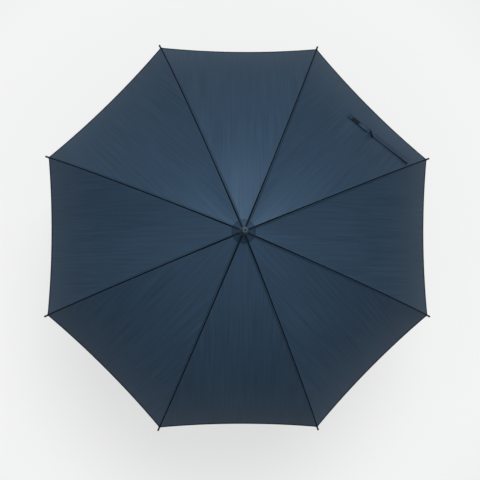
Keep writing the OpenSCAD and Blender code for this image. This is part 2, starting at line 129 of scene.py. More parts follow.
class Sock:
    """An output of a shader node, with arithmetic that adds Math nodes."""

    def __init__(self, graph: "Graph", link: bpy.types.NodeSocket) -> None:
        """Wraps one socket of a graph."""
        self.graph = graph
        self.link = link

    def __add__(self, other: "Value") -> "Sock":
        """Sum of two values."""
        return self.graph.maths("ADD", self, other)

    def __radd__(self, other: "Value") -> "Sock":
        """Sum with a number on the left."""
        return self.graph.maths("ADD", other, self)

    def __sub__(self, other: "Value") -> "Sock":
        """Difference of two values."""
        return self.graph.maths("SUBTRACT", self, other)

    def __rsub__(self, other: "Value") -> "Sock":
        """Difference from a number on the left."""
        return self.graph.maths("SUBTRACT", other, self)

    def __mul__(self, other: "Value") -> "Sock":
        """Product of two values."""
        return self.graph.maths("MULTIPLY", self, other)

    def __rmul__(self, other: "Value") -> "Sock":
        """Product with a number on the left."""
        return self.graph.maths("MULTIPLY", other, self)

    def __truediv__(self, other: "Value") -> "Sock":
        """Quotient of two values."""
        return self.graph.maths("DIVIDE", self, other)

    def size(self) -> "Sock":
        """The value without its sign."""
        return self.graph.maths("ABSOLUTE", self)

    def wave(self) -> "Sock":
        """Sine of the value."""
        return self.graph.maths("SINE", self)

    def rise(self, low: float, high: float) -> "Sock":
        """Smooth step of the value.

        Args:
            low: value at which the step starts.
            high: value at which it ends; below low it falls instead.

        Returns:
            0 before the step and 1 after it.
        """
        ends = {"From Min": low, "From Max": high}
        node = self.graph.add(
            "ShaderNodeMapRange", {"interpolation_type": "SMOOTHSTEP"}, {"Value": self, **ends}
        )
        return Sock(self.graph, node.outputs["Result"])


Value = Sock | float


class Graph:
    """The node tree of one material around a Principled shader."""

    def __init__(self, name: str, tree: bpy.types.NodeTree | None = None) -> None:
        """Makes the material with its shader and output, or wraps a tree that is there already.

        Args:
            name: the material's name.
            tree: the tree of a world, which needs no material.
        """
        self.tree = tree
        if tree:
            return
        self.material = bpy.data.materials.new(name)
        self.material.use_nodes = True
        self.tree = self.material.node_tree
        self.tree.nodes.clear()
        self.shader = self.add("ShaderNodeBsdfPrincipled")
        self.add("ShaderNodeOutputMaterial", inputs={"Surface": self.shader.outputs["BSDF"]})

    def add(self, kind: str, settings: dict | None = None, inputs: dict | None = None) -> bpy.types.Node:
        """Adds a node.

        Args:
            kind: the node's type.
            settings: properties of the node, which are set first.
            inputs: values or links by the socket's name or number.

        Returns:
            The new node.
        """
        node = self.tree.nodes.new(kind)
        for key, value in (settings or {}).items():
            setattr(node, key, value)
        self.feed(node, inputs or {})
        return node

    def feed(self, node: bpy.types.Node, inputs: dict) -> None:
        """Links or sets the inputs of a node.

        Args:
            node: the node.
            inputs: values or links by the socket's name or number.
        """
        for key, value in inputs.items():
            if isinstance(value, Sock):
                value = value.link
            if isinstance(value, bpy.types.NodeSocket):
                self.tree.links.new(value, node.inputs[key])
            else:
                node.inputs[key].default_value = value

    def maths(self, operation: str, *values: Value) -> Sock:
        """A Math node on one or two values."""
        node = self.add("ShaderNodeMath", {"operation": operation}, dict(enumerate(values)))
        return Sock(self, node.outputs[0])

    def place(self) -> Sock:
        """Place on the object, in metres."""
        return Sock(self, self.add("ShaderNodeTexCoord").outputs["Object"])

    def chart(self, name: str) -> Sock:
        """Place on one of the piece's own UV maps, in metres."""
        return Sock(self, self.add("ShaderNodeUVMap", {"uv_map": name}).outputs["UV"])

    def axes(self, vector: Sock) -> tuple[Sock, Sock, Sock]:
        """The three parts of a vector."""
        node = self.add("ShaderNodeSeparateXYZ", inputs={0: vector})
        return tuple(Sock(self, out) for out in node.outputs)

    def grain(self, vector: Sock, scale: Scale, detail: float = 2) -> Sock:
        """Noise that is finer or coarser along each axis.

        Args:
            vector: the place.
            scale: features per metre along each axis.
            detail: octaves of finer noise.

        Returns:
            A value round 0.5.
        """
        stretched = self.add("ShaderNodeMapping", inputs={"Vector": vector, "Scale": scale})
        ends = {"Vector": stretched.outputs[0], "Scale": 1.0, "Detail": detail}
        return Sock(self, self.add("ShaderNodeTexNoise", inputs=ends).outputs[0])

    def blend(self, share: Value, first: "Sock | Colour", second: "Sock | Colour") -> Sock:
        """Mixes two colours.

        Args:
            share: how much of the second colour there is.
            first: a link or a colour.
            second: a link or a colour.

        Returns:
            The mixed colour.
        """
        ends = [(*c, 1.0) if isinstance(c, tuple) else c for c in (first, second)]
        node = self.add("ShaderNodeMix", {"data_type": "RGBA"}, {0: share, 6: ends[0], 7: ends[1]})
        return Sock(self, node.outputs[2])

    def finish(self, colour: "Sock | Colour", roughness: Value, height: Sock | None = None,
               depth: float = 0.0, **fixed: float) -> bpy.types.Material:
        """Joins the finish to the shader.

        Args:
            colour: link or colour of the surface.
            roughness: link or value.
            height: relief of the surface, from 0 to 1.
            depth: the relief's depth in metres.
            **fixed: the shader's other sockets, named with _ for a space.

        Returns:
            The finished material.
        """
        values = {"Base Color": (*colour, 1.0) if isinstance(colour, tuple) else colour}
        values["Roughness"] = roughness
        values.update({key.replace("_", " "): value for key, value in fixed.items()})
        if height is not None:
            bump = self.add("ShaderNodeBump", inputs={"Height": height, "Distance": depth, "Strength": 1.0})
            values["Normal"] = bump.outputs[0]
        self.feed(self.shader, values)
        return self.material


# -------------------------------------------------------------------- finishes


def shade(colour: Colour, share: float) -> Colour:
    """A colour made darker or lighter by a share."""
    return tuple(c * share for c in colour)


@dataclass(frozen=True)
class Finish:
    """A finish, with its material's name and main colour."""

    name: str
    colour: Colour

    def build(self) -> bpy.types.Material:
        """Makes the material."""
        return self.dress(Graph(self.name))

    def dress(self, graph: Graph) -> bpy.types.Material:
        """Joins the finish's nodes to the shader; each finish has its own way."""
        raise NotImplementedError(self.name)


@dataclass(frozen=True)
class PongeeCloth(Finish):
    """Coated polyester cloth with a fine plain weave, uneven yarns, seams and a stitched hem, with painted
    shade in each seam's furrow and along the hem's edge.

    The chart "weave" runs across and along the gore, and the chart "seam" gives the distance from
    the rib's seam, positive on the side of its lap, and along it from the crown.
    """

    hem_at: float
    gloss: Colour = (0.42, 0.66, 1.0)
    shine: float = 0.34
    slub: float = 0.34
    streak: float = 0.16
    band: float = 0.8
    seam_wide: float = 2.6 * MM
    seam_narrow: float = 1.5 * MM
    seam_narrows: Pair = (0.02, 0.2)
    seam_soft: Pair = (0.55, 1.15)
    stitch_offset: float = 4.0 * MM
    stitch_pitch: float = 5.2 * MM
    stitch_half: Pair = (1.5 * MM, 0.8 * MM)
    stitch_gap: Pair = (-0.35, 0.05)
    row_back: float = 5 * MM
    row_half: Pair = (0.6 * MM, 0.25 * MM)
    lap_middle: float = 3.0 * MM
    lap_half: Pair = (3.4 * MM, 2.6 * MM)
    # Start and end of the painted shade along the hem, back from its edge.
    hem_shade_back: Pair = (4.8 * MM, 3.6 * MM)
    thread_grain: Scale = (900, 14, 1)
    pick_grain: Scale = (16, 700, 1)
    cloud_grain: Scale = (9, 5, 1)
    band_grain: Scale = (240, 6, 1)
    depth: float = 0.12 * MM

    def dress(self, graph: Graph) -> bpy.types.Material:
        """Makes the material.

        Args:
            graph: the material's nodes.

        Returns:
            The material.
        """
        weave = graph.chart("weave")
        across, along, _ = graph.axes(graph.chart("seam"))
        threads = graph.grain(weave, self.thread_grain, 3)
        picks = graph.grain(weave, self.pick_grain)
        cloud = graph.grain(weave, self.cloud_grain)
        bands = graph.grain(weave, self.band_grain, 3)
        tone = (threads - 0.5) * (2 * self.streak) + (picks - 0.5) * self.streak + (cloud - 0.5) * 0.25
        tone += (bands - 0.5) * self.band
        cloth = graph.blend((tone + 0.5).rise(0, 1), shade(self.colour, 1 - self.slub),
                            shade(self.colour, 1 + self.slub))
        seam = self.seam_mask(across, along)
        stitches = self.stitch_mask(across, along)
        hem = along.rise(*(self.hem_at - back for back in self.hem_shade_back))
        lap = (across - self.lap_middle).size().rise(*self.lap_half)
        shown = graph.blend(lap * 0.35, cloth, shade(self.colour, 0.7))
        # Painted shade: the cloth turns almost black in the seam's furrow.
        shown = graph.blend(seam * 0.95, shown, shade(self.colour, 0.06))
        shown = graph.blend(stitches * 0.85, shown, shade(self.colour, 0.2))
        # Painted shade along the hem's edge.
        shown = graph.blend(hem * 0.95, shown, shade(self.colour, 0.1))
        relief = threads * 0.5 + picks * 0.35 - seam * 0.8 - stitches * 0.6
        rough = 0.46 + (threads - 0.5) * 0.25 + seam * 0.3
        return graph.finish(shown, rough, relief, self.depth, Specular_IOR_Level=self.shine,
                            Specular_Tint=(*self.gloss, 1.0), Sheen_Weight=0.02, Sheen_Roughness=0.4)

    def seam_mask(self, across: Sock, along: Sock) -> Sock:
        """The furrow over the rib, 1 in it and 0 outside; it narrows away from the crown."""
        width = self.seam_wide - (self.seam_wide - self.seam_narrow) * along.rise(*self.seam_narrows)
        return 1 - (across.size() / width).rise(*self.seam_soft)

    def stitch_mask(self, across: Sock, along: Sock) -> Sock:
        """Lockstitch beside the seam and along the hem.

        Args:
            across: distance from the seam.
            along: distance from the crown.

        Returns:
            1 on a stitch and 0 outside it.
        """
        turns = 2 * math.pi / self.stitch_pitch
        beside = (across - self.stitch_offset).size().rise(*self.stitch_half)
        dashes = (along * turns).wave().rise(*self.stitch_gap)
        row = (along - (self.hem_at - self.row_back)).size().rise(*self.row_half)
        return beside * dashes + row * (across * turns).wave().rise(*self.stitch_gap)


@dataclass(frozen=True)
class Webbing(Finish):
    """Tightly woven strap cloth with a row of stitches near each edge, and painted shade along both edges.
    """

    width: float
    gloss: Colour = (0.4, 0.64, 1.0)
    edge: float = 1.6 * MM
    pitch: float = 2.8 * MM
    row_half: Pair = (0.5 * MM, 0.2 * MM)
    stitch_gap: Pair = (-0.4, 0)
    # Width of the painted shade along each edge.
    edge_shade_width: float = 1.2 * MM
    thread_grain: Scale = (1100, 60, 1)
    pick_grain: Scale = (60, 1300, 1)
    depth: float = 0.15 * MM

    def dress(self, graph: Graph) -> bpy.types.Material:
        """Makes the material; the chart "weave" has its zero on the strap's middle line.

        Args:
            graph: the material's nodes.

        Returns:
            The material.
        """
        weave = graph.chart("weave")
        across, along, _ = graph.axes(weave)
        threads = graph.grain(weave, self.thread_grain)
        picks = graph.grain(weave, self.pick_grain)
        row = (across.size() - (self.width / 2 - self.edge)).size().rise(*self.row_half)
        stitches = row * (along * (2 * math.pi / self.pitch)).wave().rise(*self.stitch_gap)
        painted_edge_shade = across.size().rise(self.width / 2 - self.edge_shade_width, self.width / 2)
        cloth = graph.blend(threads.rise(0.3, 0.7), shade(self.colour, 0.72), shade(self.colour, 1.25))
        cloth = graph.blend(stitches * 0.6, cloth, shade(self.colour, 0.4))
        # Painted shade along both edges of the strap.
        cloth = graph.blend(painted_edge_shade * 0.6, cloth, shade(self.colour, 0.35))
        return graph.finish(cloth, 0.6 + (picks - 0.5) * 0.2, threads * 0.5 + picks * 0.5 - stitches,
                            self.depth, Specular_IOR_Level=0.25, Specular_Tint=(*self.gloss, 1.0))


@dataclass(frozen=True)
class HookPile(Finish):
    """Dense field of small hooks on the strap's pad."""

    pitch: float = 1.1 * MM
    fuzz_grain: Scale = (2200, 2200, 1)
    height: float = 0.35 * MM

    def dress(self, graph: Graph) -> bpy.types.Material:
        """Makes the material; the hooks stand in rows on the chart "weave".

        Args:
            graph: the material's nodes.

        Returns:
            The material.
        """
        weave = graph.chart("weave")
        across, along, _ = graph.axes(weave)
        turns = 2 * math.pi / self.pitch
        hooks = ((across * turns).wave() * (along * turns).wave()).rise(-0.1, 0.7)
        fuzz = graph.grain(weave, self.fuzz_grain)
        colour = graph.blend(hooks * fuzz, shade(self.colour, 0.5), shade(self.colour, 1.9))
        return graph.finish(colour, 0.85 - hooks * 0.25, hooks, self.height, Specular_IOR_Level=0.12)


@dataclass(frozen=True)
class PaintedSteel(Finish):
    """Black enamelled steel with orange peel, dust and small chips."""

    bare: Colour = (0.34, 0.35, 0.36)
    peel_grain: Scale = (1500, 1500, 1500)
    dust_grain: Scale = (60, 60, 60)
    chip_grain: Scale = (420, 420, 420)
    chip_share: Pair = (0.735, 0.755)
    depth: float = 0.04 * MM

    def dress(self, graph: Graph) -> bpy.types.Material:
        """Makes the material.

        Args:
            graph: the material's nodes.

        Returns:
            The material.
        """
        place = graph.place()
        peel = graph.grain(place, self.peel_grain, 1)
        dust = graph.grain(place, self.dust_grain, 4)
        chips = graph.grain(place, self.chip_grain, 5).rise(*self.chip_share)
        colour = graph.blend(dust.rise(0.4, 0.75) * 0.5, self.colour, shade(self.colour, 2.4))
        colour = graph.blend(chips, colour, self.bare)
        rough = 0.34 + (dust - 0.5) * 0.3 + chips * 0.15
        return graph.finish(colour, rough, peel - chips * 0.5, self.depth, Metallic=0.0,
                            Specular_IOR_Level=0.5)


@dataclass(frozen=True)
class DrawnSteel(Finish):
    """Bright drawn or brushed metal, streaked along the shaft's axis."""

    roughness: float = 0.28
    line_grain: Scale = (2600, 2600, 14)
    mark_grain: Scale = (45, 45, 25)
    depth: float = 0.02 * MM

    def dress(self, graph: Graph) -> bpy.types.Material:
        """Makes the material.

        Args:
            graph: the material's nodes.

        Returns:
            The material.
        """
        place = graph.place()
        lines = graph.grain(place, self.line_grain, 3)
        marks = graph.grain(place, self.mark_grain, 3)
        colour = graph.blend(lines.rise(0.25, 0.75), shade(self.colour, 0.82), shade(self.colour, 1.12))
        colour = graph.blend(marks.rise(0.55, 0.8) * 0.4, colour, shade(self.colour, 0.6))
        rough = self.roughness + (lines - 0.5) * 0.22 + (marks - 0.5) * 0.2
        return graph.finish(colour, rough, lines, self.depth, Metallic=1.0)


@dataclass(frozen=True)
class MouldedPlastic(Finish):
    """Moulded plastic or soft-touch rubber with a spark-eroded texture and rubbed places."""

    roughness: float = 0.45
    stipple: float = 1400
    depth: float = 0.06 * MM
    gloss: float = 0.45
    rub_grain: Scale = (38, 38, 38)
    scratch_grain: Scale = (700, 90, 160)
    scratch_share: Pair = (0.7, 0.74)

    def dress(self, graph: Graph) -> bpy.types.Material:
        """Makes the material.

        Args:
            graph: the material's nodes.

        Returns:
            The material.
        """
        place = graph.place()
        pits = graph.grain(place, (self.stipple,) * 3)
        rubbed = graph.grain(place, self.rub_grain, 3)
        scratches = graph.grain(place, self.scratch_grain, 4).rise(*self.scratch_share)
        colour = graph.blend(rubbed.rise(0.42, 0.7) * 0.5, self.colour, shade(self.colour, 1.7))
        colour = graph.blend(scratches * 0.5, colour, shade(self.colour, 2.6))
        rough = self.roughness + (pits - 0.5) * 0.2 - rubbed.rise(0.45, 0.75) * 0.1
        return graph.finish(colour, rough, pits - scratches * 0.3, self.depth,
                            Specular_IOR_Level=self.gloss)


@dataclass(frozen=True)
class GlassFibre(Finish):
    """Pultruded fibreglass rod with fibres along it under a clear resin."""

    fibre_grain: Scale = (900, 900, 500)
    resin_grain: Scale = (120, 120, 120)
    depth: float = 0.03 * MM

    def dress(self, graph: Graph) -> bpy.types.Material:
        """Makes the material.

        Args:
            graph: the material's nodes.

        Returns:
            The material.
        """
        place = graph.place()
        fibres = graph.grain(place, self.fibre_grain, 4)
        resin = graph.grain(place, self.resin_grain)
        colour = graph.blend(fibres.rise(0.35, 0.8), shade(self.colour, 0.7), shade(self.colour, 2.2))
        return graph.finish(colour, 0.3 + (resin - 0.5) * 0.25, fibres, self.depth, Specular_IOR_Level=0.55)


@dataclass(frozen=True)
class Thread(Finish):
    """Twisted sewing thread."""

    twist_grain: Scale = (2500, 2500, 2500)
    depth: float = 0.1 * MM

    def dress(self, graph: Graph) -> bpy.types.Material:
        """Makes the material.

        Args:
            graph: the material's nodes.

        Returns:
            The material.
        """
        twist = graph.grain(graph.place(), self.twist_grain)
        colour = graph.blend(twist.rise(0.3, 0.7), shade(self.colour, 0.6), shade(self.colour, 1.4))
        return graph.finish(colour, 0.7 + (twist - 0.5) * 0.2, twist, self.depth)


# ------------------------------------------------------------------ mesh tools


def around(azimuth: float) -> Matrix:
    """Turn about the shaft by an azimuth in radians."""
    return Matrix.Rotation(azimuth, 4, "Z")


def rib_azimuth(k: int) -> float:
    """Azimuth of rib k in radians."""
    return HALF_GORE + (k - 1) * GORE


def make_piece(name: str, bm: bmesh.types.BMesh, material: bpy.types.Material,
               body: str) -> bpy.types.Object:
    """Turns a bmesh into a finished piece that rides on a body.

    Args:
        name: the piece's name.
        bm: its mesh in the frame, which is freed.
        material: its finish.
        body: the body that it rides on.

    Returns:
        The new object.
    """
    for face in bm.faces:
        face.smooth = True
    mesh = bpy.data.meshes.new(name)
    bm.to_mesh(mesh)
    bm.free()
    mesh.materials.append(material)
    piece = bpy.data.objects.new(name, mesh)
    bpy.context.scene.collection.objects.link(piece)
    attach(piece, body)
    return piece


def sharpen(bm: bmesh.types.BMesh, angle: float) -> None:
    """Marks the sharp edges of a mesh.

    Args:
        bm: the mesh.
        angle: least bend of a sharp edge, in radians.
    """
    bm.normal_update()
    for edge in bm.edges:
        if not edge.is_manifold or edge.calc_face_angle(0) > angle:
            edge.smooth = False


def round_edges(bm: bmesh.types.BMesh, radius: float, angle: float, segments: int = 2) -> None:
    """Bevels every edge that bends by more than an angle.

    Args:
        bm: the mesh.
        radius: the bevel's width.
        angle: least bend in radians.
        segments: steps across the bevel.
    """
    edges = [e for e in bm.edges if e.is_manifold and e.calc_face_angle(0) > angle]
    bmesh.ops.bevel(bm, geom=edges, offset=radius, segments=segments, profile=0.5,
                    affect="EDGES", material=-1, clamp_overlap=True)


def lathe(profile: Sequence[Pair], steps: int = 64) -> bmesh.types.BMesh:
    """Spins an outline round Z into a closed solid.

    Args:
        profile: (radius, height) points, counterclockwise when the outline is closed.
        steps: segments round the axis.

    Returns:
        The solid.
    """
    bm = bmesh.new()
    verts = [bm.verts.new((r, 0, z)) for r, z in profile]
    closed = min(r for r, _ in profile) > 0
    ends = list(zip(verts, verts[1:])) + ([(verts[-1], verts[0])] if closed else [])
    edges = [bm.edges.new(pair) for pair in ends]
    bmesh.ops.spin(bm, geom=verts + edges, cent=(0, 0, 0), axis=(0, 0, 1), angle=2 * math.pi,
                   steps=steps, use_merge=True)
    bmesh.ops.remove_doubles(bm, verts=bm.verts, dist=SAME_PLACE)
    bmesh.ops.recalc_face_normals(bm, faces=bm.faces)
    return bm


def ring(major: float, minor: float, place: Matrix, bm: bmesh.types.BMesh,
         steps: int = 24, sides: int = 8) -> None:
    """Adds a torus.

    Args:
        major: radius of the ring.
        minor: radius of its wire.
        place: turns and moves the ring, whose axis is Z.
        bm: the mesh that it is added to.
        steps: segments round the ring.
        sides: segments round the wire.
    """
    upright = Matrix.Translation((major, 0, 0)) @ Matrix.Rotation(math.pi / 2, 4, "X")
    made = bmesh.ops.create_circle(bm, segments=sides, radius=minor, matrix=upright)
    verts = made["verts"]
    edges = list({e for v in verts for e in v.link_edges})
    before = set(bm.verts)
    bmesh.ops.spin(bm, geom=verts + edges, cent=(0, 0, 0), axis=(0, 0, 1), angle=2 * math.pi,
                   steps=steps, use_merge=True)
    added = [v for v in bm.verts if v.is_valid and v not in before] + [v for v in verts if v.is_valid]
    bmesh.ops.transform(bm, matrix=place, verts=added)
    bmesh.ops.recalc_face_normals(bm, faces=list({f for v in added for f in v.link_faces}))


# ------------------------------------------------------------ shape of the rib


@dataclass
class RibLine:
    """Centre line of an inner rib and its outer rod in their upright plane, and the cloth over them.

    A place along it is a length from the crown pivot, and a point is (radius, height).
    """

    crown: Pair
    joint: Pair
    rib_bend: float = math.radians(16)
    rod_bend: float = math.radians(21.2)
    rod_l: float = 279 * MM
    hem_reach: float = 4.4 * MM
    gore_dip: float = 10 * MM
    rise: float = 3.4 * MM
    rib_rows: int = 4
    rod_rows: int = 5
    margin: float = 20 * MM
    halvings: int = 28

    def __post_init__(self) -> None:
        """Works out slopes, radii of bend and lengths."""
        run, fall = self.joint[0] - self.crown[0], self.crown[1] - self.joint[1]
        arm, slope = math.hypot(run, fall), math.atan2(fall, run)
        self.root_slope = slope - self.rib_bend / 2
        self.joint_slope = slope + self.rib_bend / 2
        self.end_slope = self.joint_slope + self.rod_bend
        self.rib_r = arm / (2 * math.sin(self.rib_bend / 2))
        self.rod_r = self.rod_l / (2 * math.sin(self.rod_bend / 2))
        self.rib_length = self.rib_r * self.rib_bend
        self.rod_length = self.rod_r * self.rod_bend
        self.hem = self.rib_length + self.rod_length + self.hem_reach

    def slope(self, at: float) -> float:
        """Slope of the line.

        Args:
            at: length from the crown pivot.

        Returns:
            Slope below level in radians.
        """
        if at <= self.rib_length:
            return self.root_slope + max(at, 0) / self.rib_r
        return min(self.joint_slope + (at - self.rib_length) / self.rod_r, self.end_slope)

    def point(self, at: float, off: float) -> Pair:
        """Point above the line.

        Args:
            at: length from the crown pivot.
            off: height above the line, square to it.

        Returns:
            Radius and height.
        """
        s = self.slope(at)
        if at <= self.rib_length:
            start, bend_r, s0 = self.crown, self.rib_r, self.root_slope
        else:
            start, bend_r, s0 = self.joint, self.rod_r, self.joint_slope
        centre = (start[0] - bend_r * math.sin(s0), start[1] - bend_r * math.cos(s0))
        r = centre[0] + (bend_r + off) * math.sin(s)
        z = centre[1] + (bend_r + off) * math.cos(s)
        past = max(0, at - self.rib_length - self.rod_length) + min(0, at)
        return r + past * math.cos(s), z - past * math.sin(s)

    def dip_share(self, at: float) -> float:
        """Share of the hem's dip that a place has.

        Args:
            at: length from the crown pivot.

        Returns:
            0 at the crown and 1 at the hem.
        """
        if at <= self.rib_length:
            row = self.rib_rows * max(at, 0) / self.rib_length
        else:
            row = self.rib_rows + self.rod_rows * min(1, (at - self.rib_length) / self.rod_length)
            row += max(0, at - self.rib_length - self.rod_length) / self.hem_reach
        return 1 - (1 - min(row / (self.rib_rows + self.rod_rows + 1), 1)) ** 2

    def cloth(self, at: float, side: int, v: float, off: float) -> Vector:
        """Point of the cloth beside the rib.

        Args:
            at: length from the crown pivot.
            side: 1 or -1.
            v: 0 at the rib's seam and 1 in the middle of the gore.
            off: height above the rib's line.

        Returns:
            The point in the rib's own frame.
        """
        r, z = self.point(at, off)
        s = self.slope(at)
        dip = self.gore_dip * self.dip_share(at) * (1 - (1 - v) ** 2)
        out = r * (1 - v / 2 + v / 2 * math.cos(GORE)) - dip * math.sin(s) * math.cos(HALF_GORE)
        beside = r * v / 2 * math.sin(GORE) - dip * math.sin(s) * math.sin(HALF_GORE)
        return Vector((out, side * beside, z - dip * math.cos(s)))

    def half_width(self, at: float) -> float:
        """Distance across a half gore, from the seam to the gore's middle."""
        return self.point(at, self.rise)[0] * math.sin(HALF_GORE)

    def over(self, along: float, beside: float, off: float) -> Vector:
        """Point over a gore's cloth, in the frame of the gore's middle.

        Args:
            along: distance from the shaft along the gore's middle.
            beside: distance from the gore's middle.
            off: height above the ribs' lines.

        Returns:
            The point, with x along the gore's middle.
        """
        low, high = 0.0, self.hem + self.margin
        for _ in range(self.halvings):
            at = (low + high) / 2
            r, z = self.point(at, off)
            v = 1 - min(1, abs(beside) / (r * math.sin(HALF_GORE)))
            dip = self.gore_dip * self.dip_share(at) * (1 - (1 - v) ** 2)
            if r * math.cos(HALF_GORE) - dip * math.sin(self.slope(at)) < along:
                low = at
            else:
                high = at
        return Vector((along, beside, z - dip * math.cos(self.slope(at))))

    def facing(self, at: float, off: float) -> Matrix:
        """Place on the line for a piece that is drawn up +Z.

        Args:
            at: length from the crown pivot.
            off: height above the line, square to it.

        Returns:
            The place, turned so that the piece points outwards.
        """
        r, z = self.point(at, off)
        turn = Matrix.Rotation(math.pi / 2 + self.slope(at), 4, "Y")
        return Matrix.Translation((r, 0, z)) @ turn


# ------------------------------------------------------------------ canopy


@dataclass
class Canopy:
    """Eight gores of cloth, built as halves on both sides of each rib's seam."""

    line: RibLine
    cloth: bpy.types.Material
    # Darker, duller cloth for the faces in the seam's furrow and at the hem's edge: painted shade.
    painted_shade_cloth: bpy.types.Material
    top: float = 4.2 * MM
    thickness: float = 0.4 * MM
    tongue: float = 3 * MM
    tongue_drop: float = 0.45 * MM
    step_at_joint: float = 0.02 * MM
    furrow: float = 0.45 * MM
    furrow_half: float = 1.5 * MM
    lap: float = 0.45 * MM
    lap_width: float = 5.3 * MM
    lap_columns: tuple[float, ...] = (0, 0.7 * MM, 1.5 * MM, 2.6 * MM, 5.2 * MM, 6.0 * MM, 6.8 * MM)
    lap_from: float = 18 * MM
    columns: int = 16
    rows: int = 44
    hem_rows: tuple[float, ...] = (7 * MM, 6.2 * MM, 5.4 * MM, 1.4 * MM, 0.5 * MM, 0)
    hem_width: float = 5.5 * MM
    hem_lift: float = 0.4 * MM
    hem_turn: float = 1 * MM
    hem_curl: float = 0.7 * MM
    # How far the painted shade cloth reaches from the seam and back from the hem's edge.
    shade_reach: Pair = (1.2 * MM, 3.6 * MM)
    ripple: float = 0.9 * MM
    pull_size: Pair = (0.05, 0.19)
    fine_size: Pair = (0.018, 0.07)
    fine_share: float = 0.25
    gore_steps: Pair = (7.3, 3.1)
    fine_start: float = 50
    hold_within: float = 0.1
    roll_step: float = 0.61
    keeps: Pair = (0.08, 0.07)

    def build(self) -> list[bpy.types.Object]:
        """Builds all the halves."""
        return [self.half(k, side, span) for k in RIBS for side in Side for span in Span]

    def lengths(self, span: Span) -> list[float]:
        """Rows of a half.

        Args:
            span: the stretch of cloth.

        Returns:
            Their lengths from the crown.
        """
        joint, hem = self.line.rib_length, self.line.hem
        if span is Span.INNER:
            return [joint * i / self.rows for i in range(self.rows + 1)]
        end = hem - self.hem_rows[0]
        main = [joint + (end - joint) * i / self.rows for i in range(self.rows)]
        tongue = [joint - self.tongue, joint - self.step_at_joint]
        return tongue + main + [hem - back for back in self.hem_rows]

    def share(self, j: int, at: float) -> float:
        """Place of a column across the half.

        Args:
            j: the column's number.
            at: length from the crown.

        Returns:
            Share of the way from the seam to the gore's middle.
        """
        width = self.line.half_width(at)
        shrink = min(1, width / self.lap_from)
        if j < len(self.lap_columns):
            return self.lap_columns[j] * shrink / width
        last = self.lap_columns[-1] * shrink / width
        step = (j - len(self.lap_columns) + 1) / self.columns
        return last + (1 - last) * step

    def relief(self, side: Side, span: Span, across: float, at: float) -> float:
        """Height of seam, hem and tongue over the plain cloth.

        Args:
            side: the side of the seam, of which the right one carries the lap.
            span: the stretch of cloth.
            across: distance from the seam.
            at: length from the crown.

        Returns:
            The height in metres.
        """
        if span is Span.OUTER and at < self.line.rib_length:
            return -self.tongue_drop
        shrink = min(1, self.line.half_width(at) / self.lap_from)
        lap = self.lap * shrink if side is Side.RIGHT and across < self.lap_width * shrink else 0
        near = max(0, 1 - across / (self.furrow_half * shrink))
        height = lap * (1 - near) - self.furrow * shrink * near
        left = self.line.hem - at
        if left < self.hem_width:
            height += self.hem_lift
        if left < self.hem_turn:
            height -= self.hem_curl * (1 - left / self.hem_turn)
        return height

    def wrinkle(self, gore: int, weave: float, at: float, v: float) -> float:
        """Soft pulls in the cloth, which vanish at the seam and the crown.

        Args:
            gore: the gore's number.
            weave: distance from the gore's middle.
            at: length from the crown.
            v: 0 at the seam and 1 in the gore's middle.

        Returns:
            The height in metres.
        """
        (wide, long), (fine_wide, fine_long) = self.pull_size, self.fine_size
        step, fine_step = self.gore_steps
        pull = noise.noise(Vector((weave / wide, at / long, gore * step)))
        fine = noise.noise(Vector((weave / fine_wide, at / fine_long, gore * fine_step + self.fine_start)))
        hold = (1 - (1 - v) ** 2) * min(1, at / self.hold_within)
        return self.ripple * hold * (pull + self.fine_share * fine)

    def half(self, k: int, side: Side, span: Span) -> bpy.types.Object:
        """Builds one half: a grid laid over the rib's line, with a live Solidify for its thickness.

        Args:
            k: the rib's number.
            side: the side of its seam.
            span: over the rib or over the rod.

        Returns:
            The piece.
        """
        lengths = self.lengths(span)
        count = len(self.lap_columns) + self.columns
        bm, charts = bmesh.new(), {}
        bmesh.ops.create_grid(bm, x_segments=len(lengths) - 1, y_segments=count - 1, size=1)
        gore = k if side is Side.LEFT else (k - 2) % RIB_COUNT + 1
        for vert in bm.verts:
            i = round((vert.co.x + 1) / 2 * (len(lengths) - 1))
            j = round((vert.co.y + 1) / 2 * (count - 1))
            at, v = lengths[i], self.share(j, lengths[i])
            width = self.line.half_width(at)
            weave = side.value * (v - 1) * width
            off = self.top + self.relief(side, span, v * width, at)
            flat = self.line.cloth(at, side.value, v, off)
            flat.z += self.wrinkle(gore, weave, at, v)
            vert.co = flat
            charts[vert] = ((weave + gore * self.roll_step, at), (-side.value * v * width, at))
        self.chart(bm, charts)
        # Faces in the seam's furrow and at the hem's edge take the second material, which is painted shade.
        for face in bm.faces:
            places = [charts[vert][1] for vert in face.verts]
            across, at = (sum(column) / len(places) for column in zip(*places))
            in_seam, in_hem = abs(across) < self.shade_reach[0], at > self.line.hem - self.shade_reach[1]
            face.material_index = int(in_seam or in_hem)
        if side is Side.RIGHT:
            bmesh.ops.reverse_faces(bm, faces=bm.faces)
        sharpen(bm, CLOTH_CREASE)
        bmesh.ops.transform(bm, matrix=around(rib_azimuth(k)), verts=bm.verts)
        name = f"cloth_{span.value}_{side.name.lower()}_{k}"
        body = f"rib_{k}" if span is Span.INNER else f"rod_{k}"
        piece = make_piece(name, bm, self.cloth, body)
        piece.data.materials.append(self.painted_shade_cloth)
        thicken(piece, self.thickness)
        self.fold(piece, k, side, span)
        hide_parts(f"canopy_{k}")
        start, end = max(lengths[0], 0), lengths[-1]
        wide, narrow = self.line.half_width(end), self.line.half_width(start)
        length = end - start
        (wide + narrow) / 2 * length
        return piece

    @staticmethod
    def chart(bm: bmesh.types.BMesh, charts: dict) -> None:
        """Writes the UV maps "weave" and "seam" of a grid.

        Args:
            bm: the mesh.
            charts: a pair of chart places for each vertex.
        """
        for n, name in enumerate(("weave", "seam")):
            layer = bm.loops.layers.uv.new(name)
            for face in bm.faces:
                for loop in face.loops:
                    loop[layer].uv = charts[loop.vert][n]

